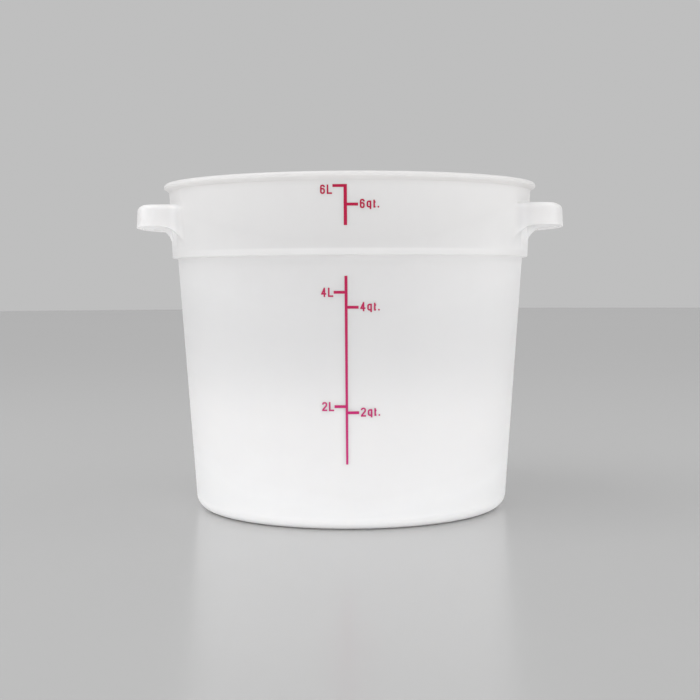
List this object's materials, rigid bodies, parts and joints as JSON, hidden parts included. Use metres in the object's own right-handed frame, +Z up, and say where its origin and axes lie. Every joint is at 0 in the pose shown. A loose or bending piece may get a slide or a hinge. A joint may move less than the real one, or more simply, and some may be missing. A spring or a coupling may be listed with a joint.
{
  "type": "dough proofing container",
  "caption": "Round, open, translucent tub with a flared lip, a stacking shoulder and side ears for lifting, printed with a litre and quart scale to watch dough rise.",
  "frame": {"origin": "centre of the base's underside, on the surface that the tub stands on", "axes": "+Z up along the tub's axis, -Y towards the front with the printed scale, +X through the ear on the viewer's right"},
  "size_m": [0.2638, 0.23, 0.1995],
  "materials": {
    "milky_polypropylene": "satin, milky translucent natural polypropylene",
    "crimson_ink": "flat printed ink"
  },
  "bodies": {
    "root": {"tub": "milky_polypropylene", "scale_bar_upper": "crimson_ink", "scale_bar_lower": "crimson_ink", "label_6_litre": "crimson_ink", "label_4_litre": "crimson_ink", "label_2_litre": "crimson_ink", "label_6_quart": "crimson_ink", "label_4_quart": "crimson_ink", "label_2_quart": "crimson_ink"}
  },
  "joints": []
}
